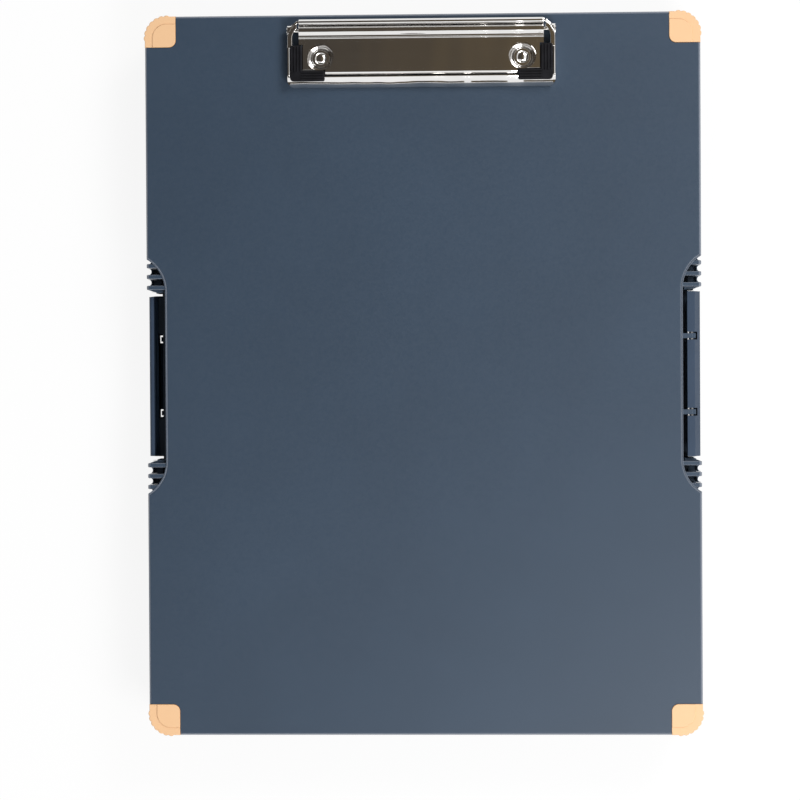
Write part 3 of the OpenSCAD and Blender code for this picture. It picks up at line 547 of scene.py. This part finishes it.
class CLIPBOX_OT_stage(Operator):
    """Sets up the floor, the lamps, the world and the camera"""
    bl_idname = "clipbox.stage"
    bl_label = "Stage"

    def execute(self, context):
        settings = context.scene.clipbox.stage
        scene = context.scene
        scene.view_settings.view_transform = "Standard"
        self.floor(settings)
        self.world(scene)
        self.lamp("key_lamp", KEY_PLACE, settings.key_power)
        self.lamp("fill_lamp", FILL_PLACE, settings.fill_power)
        self.flags()
        self.camera(scene, settings)
        return {"FINISHED"}

    def staged(self, bm, n):
        """Links a bmesh as a stage object with the material of a tree, and frees it."""
        name = n.owner.name
        mesh = bpy.data.meshes.new(name)
        bm.to_mesh(mesh)
        bm.free()
        mesh.materials.append(n.owner)
        made = bpy.data.objects.new(name, mesh)
        bpy.context.scene.collection.objects.link(made)
        return made

    def floor(self, settings):
        bm = bmesh.new()
        bmesh.ops.create_grid(bm, x_segments=1, y_segments=1, size=FLOOR_HALF)
        n = material("floor")
        matte = n.add("ShaderNodeBsdfDiffuse")
        matte.inputs["Color"].default_value = (*settings.floor_color, 1.0)
        share = self.beside_case(n, seen(n, FLOOR_SHADE))
        n.blend(share, matte.outputs["BSDF"], n.light("ShaderNodeEmission"))
        self.staged(bm, n)

    def beside_case(self, n, share):
        """Keeps a share beside the case, and drops it under the case and its left fins."""
        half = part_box("front_cover")[1] / MM
        dark = self.patch(n, (CASE_SHADE_X, 0.0), [half[i] - CASE_SHADE_INSET[i] for i in range(2)])
        for y in (-FIN_SHADE_Y, FIN_SHADE_Y):
            dark = n.math("MAXIMUM", dark, self.patch(n, (FIN_SHADE_X, y), FIN_SHADE_HALF))
        return n.math("MULTIPLY", n.spread(dark, 1.0, 0.0, 0.0, 1.0), share)

    def patch(self, n, middle, half):
        """A factor that is one inside a rectangle on the floor, given in millimetres."""
        sides = []
        for axis, centre, reach in zip("XY", middle, half):
            away = n.math("ABSOLUTE", n.math("SUBTRACT", n.axes("Object")[axis], centre * MM))
            sides.append(n.spread(away, 1.0, 0.0, (reach - SHADE_SOFT) * MM, (reach + SHADE_SOFT) * MM))
        return n.math("MULTIPLY", *sides)

    def world(self, scene):
        scene.world = bpy.data.worlds.new("studio")
        n = Nodes(scene.world, "ShaderNodeOutputWorld")
        n.blend(seen(n, 0.0), n.light("ShaderNodeBackground", ROOM_LIGHT), n.light("ShaderNodeBackground"))

    def lamp(self, name, place, power):
        data = bpy.data.lights.new(name, "AREA")
        data.size = LAMP_SIZE
        data.energy = power
        lamp = bpy.data.objects.new(name, data)
        lamp.location = place
        lamp.rotation_euler = (LAMP_AIM - Vector(place)).to_track_quat("-Z", "Y").to_euler()
        lamp.visible_camera = False
        bpy.context.scene.collection.objects.link(lamp)

    def flags(self):
        """Dark cards over and beside the object, which only its gloss shows."""
        bm = bmesh.new()
        for middle, turn, axis, half in CARDS:
            spot = Matrix.Translation(middle) @ Matrix.Rotation(turn, 4, axis)
            bmesh.ops.create_grid(bm, x_segments=1, y_segments=1, size=1.0,
                                  matrix=spot @ Matrix.Diagonal((*half, 1.0, 1.0)))
        n = material("flags")
        warmth = n.spread(n.axes("Object")["X"], 0.0, 1.0, -0.16, 0.1)
        glow = n.add("ShaderNodeEmission")
        n.link(n.mix(warmth, CARD_COLD, CARD_WARM), glow.inputs["Color"])
        n.link(glow.outputs["Emission"], n.output.inputs["Surface"])
        flags = self.staged(bm, n)
        flags.visible_camera = flags.visible_diffuse = False
        flags.visible_shadow = flags.visible_transmission = False

    def camera(self, scene, settings):
        data = bpy.data.cameras.new("camera")
        data.sensor_fit = "HORIZONTAL"
        data.lens = data.sensor_width * FOCAL_PX / PICTURE_PX
        camera = bpy.data.objects.new("camera", data)
        rim_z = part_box("front_cover")[1].z - RIM_DROP * MM
        camera.location = (*CAMERA_SIDE, rim_z + settings.camera_height)
        camera.rotation_euler = Euler(CAMERA_TURN, "XYZ")
        scene.collection.objects.link(camera)
        scene.camera = camera


class CLIPBOX_OT_case(Operator):
    """Dresses the two covers, the frame and the divider panel"""
    bl_idname = "clipbox.case"
    bl_label = "Case"

    def execute(self, context):
        settings = context.scene.clipbox.case
        width = settings.edge_ease
        for cover, up, face in (("front_cover", 1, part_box("front_cover")[1].z),
                                ("back_cover", -1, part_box("back_cover")[0].z)):
            bm = merged(cover)
            for hand, end in ((1, 1), (-1, 1), (-1, -1), (1, -1)):
                fins = self.fins(settings)
                place(fins, (0.0, 0.0, face), (hand, end, up))
                add(bm, fins)
            for hand in (1, -1):
                bead = self.notch_bead()
                place(bead, (0.0, 0.0, face), (hand, 1, up))
                add(bm, bead)
            piece(bm, cover)
        for node in ("middle_frame", "divider_panel"):
            bm = merged(node)
            ease(bm, 0.6 * width, lambda edge: max(along(edge, 0), along(edge, 1)) > LONG_EDGE, clamp=True)
            piece(bm, node)
        return {"FINISHED"}

    def notch_bead(self):
        """The fine rounded rim along a notch's edge, with the cover's face at zero."""
        centre = NOTCH_X + NOTCH_R
        inner, outer = (
            arc((centre, NOTCH_Y), radius, 121, 180, 16) + arc((centre, -NOTCH_Y), radius, 180, 239, 16)
            for radius in (NOTCH_R - BEAD_IN, NOTCH_R + BEAD_OUT))
        bm = bmesh.new()
        slab(bm, inner + outer[::-1], -1.0, BEAD_H, 0.28)
        return bm

    def fins(self, settings):
        """The fins at one end of one notch and the walls between them, with the cover's face at zero."""
        bm = bmesh.new()
        thick = settings.fin_thickness
        for k in range(FIN_COUNT):
            y = FIN_Y + FIN_PITCH * k
            root = NOTCH_X + NOTCH_R - math.sqrt((NOTCH_R + 0.9) ** 2 - (y - NOTCH_Y) ** 2) - 0.6
            side = round_corners([(root, FIN_FOOT), (FIN_FOOT_X, FIN_FOOT), (FIN_TIP_X, FIN_TIP_FOOT),
                                  (FIN_TIP_X, FIN_TOP), (root, FIN_TOP)], [0, 0.4, 0.5, 1.2, 0])
            fin = bmesh.new()
            slab(fin, side, y - thick / 2, y + thick / 2, 0.5, 0.5)
            bmesh.ops.rotate(fin, verts=fin.verts, cent=(0.0, 0.0, 0.0),
                             matrix=Matrix.Rotation(math.pi / 2, 3, "X"))
            bmesh.ops.scale(fin, verts=fin.verts, vec=(1.0, -1.0, 1.0))
            bmesh.ops.reverse_faces(fin, faces=fin.faces)
            add(bm, fin)
        # A thin wall beyond each gap curves out to the fins' tips, with a shelf inside its foot
        half_gap = (FIN_PITCH - thick) / 2
        for k in range(FIN_COUNT):
            middle = FIN_Y + FIN_PITCH * (k + 0.5)
            low, high = middle - half_gap, middle + half_gap
            bay = [(FIN_TIP_X + WALL_BAY * (x - FIN_TIP_X) / half_gap, y)
                   for x, y in arc((FIN_TIP_X, middle), half_gap, 270, 90, 16)]
            slab(bm, bay + [(WALL_X, high), (WALL_X, low)], WALL_FOOT, WALL_TOP)
            end = WALL_X + 2 * SEAT
            slab(bm, [(SHELF_X, low), (end, low), (end, high), (SHELF_X, high)], WALL_FOOT, SHELF_TOP)
        foot = FIN_Y - thick / 2
        gusset = [(GUSSET_X, foot + 0.4), (126.4, foot + 0.4), (126.2, foot - 0.1), (122.4, foot - 1.3),
                  (GUSSET_X, foot - 1.3)]
        slab(bm, gusset, GUSSET_FOOT, GUSSET_TOP, 0.3)
        return bm


class CLIPBOX_OT_latches(Operator):
    """Dresses the latch bars in the two notches"""
    bl_idname = "clipbox.latches"
    bl_label = "Latches"

    def execute(self, context):
        width = context.scene.clipbox.case.edge_ease
        for node in ("front_latch", "back_latch"):
            bm = merged(node)
            ease(bm, width, lambda edge: along(edge, 1) > 6, angle=20.0, clamp=True)
            piece(bm, node)
        return {"FINISHED"}


class CLIPBOX_OT_hinge_pins(Operator):
    """Dresses the steel pins of the hinges and latches"""
    bl_idname = "clipbox.hinge_pins"
    bl_label = "Hinge pins"

    def execute(self, context):
        for node in ("front_hinge_pins", "back_hinge_pins", "front_latch_pins", "back_latch_pins"):
            piece(merged(node), node)
        return {"FINISHED"}


class CLIPBOX_OT_bumpers(Operator):
    """Shapes the eight scalloped corner bumpers"""
    bl_idname = "clipbox.bumpers"
    bl_label = "Bumpers"

    def execute(self, context):
        settings = context.scene.clipbox.bumpers
        for side in ("front", "back"):
            low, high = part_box(side + "_cover")
            for end in ("top", "bottom"):
                for hand in ("left", "right"):
                    bm = self.bumper(settings)
                    signs = [1 if name in ("right", "top", "front") else -1 for name in (hand, end, side)]
                    face = high.z if side == "front" else low.z
                    place(bm, (signs[0] * high.x, signs[1] * high.y, face), signs)
                    piece(bm, "_".join((side, "bumper", end, hand)))
        return {"FINISHED"}

    def bumper(self, settings):
        """A bumper about the cover's upper right corner, which is at zero, with the face up."""
        bm = bmesh.new()
        inside = arc((-CORNER_R, -CORNER_R), CORNER_R - BRIM, 90, 0, 12)
        wrap = self.scalloped_edge(settings) + [(-BUMPER_W, -BRIM)] + inside + [(-BRIM, -BUMPER_W)]
        slab(bm, wrap, -BUMPER_H, 0.1, settings.rim, settings.rim)
        edge = BRIM / 2
        end = SEAT - BUMPER_W
        shelf = round_corners([(-edge, end), (-edge, -edge), (end, -edge), (end, end)],
                              [0, CORNER_R - edge, 0, BUMPER_INNER_R], 10)
        slab(bm, shelf, -BUMPER_T, 0.08)
        near, far = -BUMPER_BAND, -BUMPER_W
        top = round_corners([(near, far), (near, near), (far, near), (far, far)],
                            [0.3, CORNER_R - BUMPER_BAND, 0.3, BUMPER_INNER_R], 12)
        slab(bm, top, -BUMPER_T + SEAT, BUMPER_PAD_H, 0.7 * settings.rim)
        return bm

    def scalloped_edge(self, settings):
        """The outer edge, from the straight side on the right round to the one at the top."""
        radius = settings.scallop_radius
        arm = CORNER_R + SCALLOP_OUT - radius
        pitch = 90 / (settings.scallops - 1)
        half = [(CORNER_R, CORNER_R - BUMPER_W)]
        for k in range(6, 0, -1):
            down = radius * k / 8
            half.append((max(CORNER_R, arm + math.sqrt(radius ** 2 - down ** 2)), -down))
        for k in range(37):
            angle = 45 * k / 36
            off = math.radians(angle - pitch * round(angle / pitch))
            room = radius ** 2 - (arm * math.sin(off)) ** 2
            reach = max(CORNER_R, arm * math.cos(off) + math.sqrt(room) if room > 0 else 0)
            half.append((reach * math.cos(math.radians(angle)), reach * math.sin(math.radians(angle))))
        points = half + [(y, x) for x, y in reversed(half[:-1])]
        return [(x - CORNER_R, y - CORNER_R) for x, y in points]


class CLIPBOX_OT_clip_sheet(Operator):
    """Dresses the clip's plate, its jaw and the rod that joins them"""
    bl_idname = "clipbox.clip_sheet"
    bl_label = "Clip plate and jaw"

    def execute(self, context):
        width = context.scene.clipbox.clip.edge_ease
        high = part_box("clip_jaw")[1]
        bm = merged("clip_plate")
        ease(bm, width, lambda edge: along(edge, 0) > 3, angle=25.0)
        piece(bm, "clip_plate")
        bm = merged("clip_jaw")
        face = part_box("front_cover")[1].z
        for vert in bm.verts:
            if abs(vert.co.x) > high.x - JAW_SIDE_W * MM:
                vert.co.z = min(vert.co.z, face + JAW_H * MM)
        for hand in (1, -1):
            strip = self.arm_strip(high.x / MM)
            place(strip, (0.0, 0.0, face), (hand, 1, 1))
            add(bm, strip)
        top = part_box("clip_grip_right")[1].z - 1.2 * MM
        ease(bm, 2 * width, lambda edge: all(vert.co.z > top for vert in edge.verts))
        piece(bm, "clip_jaw")
        bm = merged("clip_rod")
        for vert in bm.verts:
            head = abs(vert.co.x) - high.x
            if head > 0.05 * MM:    # a head of the rod, which stands out past the jaw
                vert.co.x *= (high.x + head / 2) / (high.x + head)
        piece(bm, "clip_rod")
        return {"FINISHED"}

    def arm_strip(self, jaw_x):
        """The turned-in upper rim of the arm that runs round to the lever."""
        axis = (jaw_x - ARM_R, ARM_Y)
        outer = [(jaw_x - SEAT, ARM_END_Y)] + arc(axis, ARM_R - SEAT, 0, 60, 14)
        inner = arc(axis, ARM_R - ARM_RIM_W, 50, 0, 12) + [(jaw_x - ARM_RIM_W, ARM_END_Y)]
        bm = bmesh.new()
        slab(bm, outer + inner, JAW_H - ARM_RIM_T, JAW_H + SEAT, 0.4)
        return bm


class CLIPBOX_OT_rivets(Operator):
    """Shapes the two domed rivets and dresses their washers"""
    bl_idname = "clipbox.rivets"
    bl_label = "Rivets"

    def execute(self, context):
        low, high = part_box("clip_rivets")
        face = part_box("front_cover")[1].z
        bm = bmesh.new()
        for x in (low.x + RIVET_RIM_R * MM, high.x - RIVET_RIM_R * MM):
            lathe(bm, self.profile(), (x, (low.y + high.y) / 2, face))
        piece(bm, "clip_rivets", sharp=40.0)
        piece(merged("rivet_washers"), "rivet_washers")
        return {"FINISHED"}

    def profile(self):
        """Dome, groove, rim, shank and the tail set over the washer."""
        angles = (math.pi / 2 * k / 9 for k in range(9))
        dome = [(RIVET_DOME_R * math.sin(a), 1.4 + 1.3 * math.cos(a)) for a in angles]
        rim = arc((RIVET_RIM_R - 0.25, 1.15), 0.25, 90, -60, 5)
        return (dome + [(RIVET_DOME_R, 1.32), (RIVET_DOME_R + 0.25, 1.28)] + rim
                + [(RIVET_RIM_R - 0.2, 0.8), (1.95, 0.8), (1.95, -3.2), (3.1, -3.2), (3.2, -3.4), (3.0, -4.0),
                   (2.4, -4.2), (0.0, -4.2)])


class CLIPBOX_OT_grips(Operator):
    """Shapes the ribbed rubber grips at the jaw's corners"""
    bl_idname = "clipbox.grips"
    bl_label = "Grips"

    def execute(self, context):
        settings = context.scene.clipbox.clip
        low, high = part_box("clip_grip_right")
        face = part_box("front_cover")[1].z
        for node, hand in (("clip_grip_right", 1), ("clip_grip_left", -1)):
            bm = self.grip(settings, low / MM, high / MM, face / MM)
            place(bm, (0.0, 0.0, 0.0), (hand, 1, 1))
            piece(bm, node)
        return {"FINISHED"}

    def grip(self, settings, low, high, face):
        bm = bmesh.new()
        inner, turn = high.x - GRIP_SIDE_W, low.y + GRIP_W
        top = high.z - GRIP_RIB_H
        body = round_corners([(low.x, low.y), (high.x, low.y), (high.x, high.y), (inner, high.y),
                              (inner, turn), (low.x, turn)], [0.8, 1.6, 0.8, 0.8, 0.5, 0.8])
        slab(bm, body, low.z, top, 0.35, 0.2)
        for i in range(settings.grip_ribs):
            for start, width, across in ((low.y, GRIP_W, False), (inner, GRIP_SIDE_W, True)):
                rib = width / (2 * settings.grip_ribs)
                near = start + (2 * i + 0.4) * rib
                far = near + 1.2 * rib
                if across:
                    bar = [(near, turn - 0.5), (far, turn - 0.5), (far, high.y - 0.4), (near, high.y - 0.4)]
                else:
                    bar = [(low.x + 0.4, near), (inner + 0.6, near), (inner + 0.6, far), (low.x + 0.4, far)]
                slab(bm, round_corners(bar, [0.3] * 4, 4), top - 0.6, high.z, 0.28)
        return bm


class CLIPBOX_OT_springs(Operator):
    """Winds the two torsion springs round the rod"""
    bl_idname = "clipbox.springs"
    bl_label = "Springs"

    def execute(self, context):
        turns = context.scene.clipbox.clip.spring_turns
        low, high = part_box("clip_springs")
        rod_low, rod_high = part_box("clip_rod")
        axis_y, axis_z = (rod_low.y + rod_high.y) / 2, (rod_low.z + rod_high.z) / 2
        start_x, wire_r = SPRING_X * MM, SPRING_WIRE_R * MM
        data = bpy.data.curves.new("dressed_clip_springs", "CURVE")
        data.dimensions = "3D"
        data.bevel_depth = wire_r
        data.bevel_resolution = 3
        data.use_fill_caps = True
        coil_r = axis_z - low.z - wire_r
        pitch = (high.x - start_x - 2 * wire_r) / turns
        for hand in (-1, 1):
            points = [(start_x, low.y + wire_r, high.z - wire_r)]
            for k in range(turns * SPRING_STEPS + 1):
                angle = math.radians(360 * k / SPRING_STEPS - 90)
                points.append((start_x + pitch * k / SPRING_STEPS, axis_y + coil_r * math.cos(angle),
                               axis_z + coil_r * math.sin(angle)))
            points.append((start_x + pitch * turns, axis_y + SPRING_END[0] * MM, axis_z + SPRING_END[1] * MM))
            spline = data.splines.new("POLY")
            spline.points.add(len(points) - 1)
            for point, (x, y, z) in zip(spline.points, points):
                point.co = (hand * x, y, z, 1.0)
        data.materials.append(FINISHES["steel_wire"])
        springs = bpy.data.objects.new("dressed_clip_springs", data)
        context.scene.collection.objects.link(springs)
        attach(springs, BODY_OF["clip_springs"])
        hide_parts("clip_springs")
        return {"FINISHED"}


class CLIPBOX_PT_panel(Panel):
    """Lists the clipboard box's settings and operators"""
    bl_idname = "CLIPBOX_PT_panel"
    bl_label = "Clipboard Box"
    bl_space_type = "VIEW_3D"
    bl_region_type = "UI"
    bl_category = "Clipboard Box"

    def draw(self, context):
        settings = context.scene.clipbox
        for group in (settings.case, settings.bumpers, settings.clip, settings.stage):
            box = self.layout.box()
            for key in group.bl_rna.properties.keys():
                if key not in {"rna_type", "name"}:
                    box.prop(group, key)
        for operator in OPERATORS:
            self.layout.operator(operator.bl_idname)


OPERATORS = (CLIPBOX_OT_stage, CLIPBOX_OT_case, CLIPBOX_OT_latches, CLIPBOX_OT_hinge_pins,
             CLIPBOX_OT_bumpers, CLIPBOX_OT_clip_sheet, CLIPBOX_OT_rivets, CLIPBOX_OT_grips,
             CLIPBOX_OT_springs)
CLASSES = (CaseSettings, BumperSettings, ClipSettings, StageSettings, ClipboardBoxSettings,
           *OPERATORS, CLIPBOX_PT_panel)


def register():
    for cls in CLASSES:
        bpy.utils.register_class(cls)
    bpy.types.Scene.clipbox = PointerProperty(type=ClipboardBoxSettings)


def unregister():
    del bpy.types.Scene.clipbox
    for cls in reversed(CLASSES):
        bpy.utils.unregister_class(cls)


def main():
    register()
    make_finishes(bpy.context.scene.clipbox)
    for operator in OPERATORS:
        group, name = operator.bl_idname.split(".")
        getattr(getattr(bpy.ops, group), name)()


if __name__ == "__main__":
    main()
